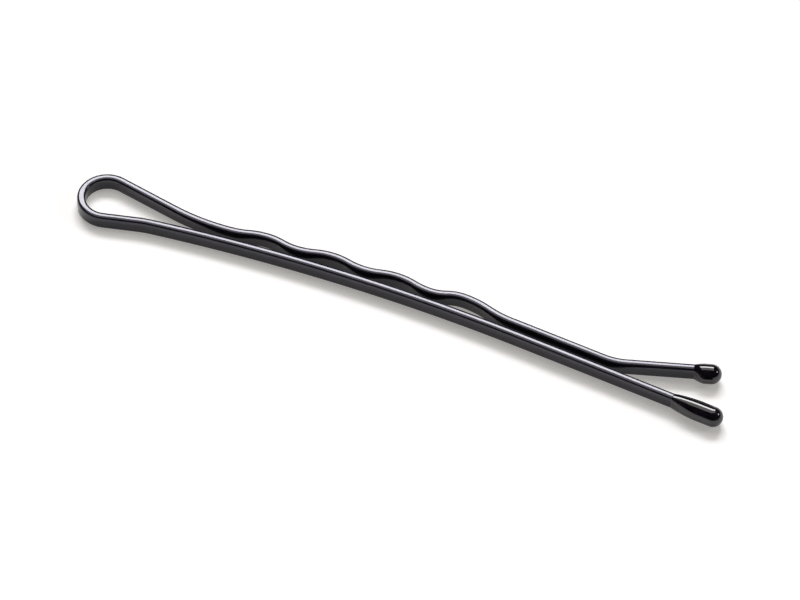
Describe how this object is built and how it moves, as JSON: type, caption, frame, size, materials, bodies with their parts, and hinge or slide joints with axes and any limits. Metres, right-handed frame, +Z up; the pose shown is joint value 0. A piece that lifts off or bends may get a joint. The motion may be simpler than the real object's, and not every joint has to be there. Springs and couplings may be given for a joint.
{
  "type": "bobby pin",
  "caption": "Flat black spring-wire hair pin: a straight leg and a waved, flared leg joined by a round bow, each ending in a dipped bead.",
  "frame": {"origin": "middle of the pin's box, on the surface that it lies on", "axes": "+X from the bow to the tips, +Y from the straight leg to the wavy leg, +Z up across the flat wire, with the pin lying on its side"},
  "size_m": [0.0499, 0.0052, 0.0015],
  "materials": {
    "wire_lacquer": "black stoved lacquer on spring steel, glossy with worn edges",
    "bead_resin": "wet-looking black dipped resin"
  },
  "bodies": {
    "straight_side": {"straight_leg": "wire_lacquer", "straight_tip": "bead_resin"},
    "wavy_side": {"wavy_leg": "wire_lacquer", "wavy_tip": "bead_resin"}
  },
  "joints": [
    {"name": "bow_flex", "type": "hinge", "parent": "straight_side", "child": "wavy_side", "pos_m": [-0.02495, -0.00019, 0.00075], "axis": [0, 0, 1], "range_deg": [-0.45, 14], "stiffness_Nm_per_rad": 0.138}
  ]
}
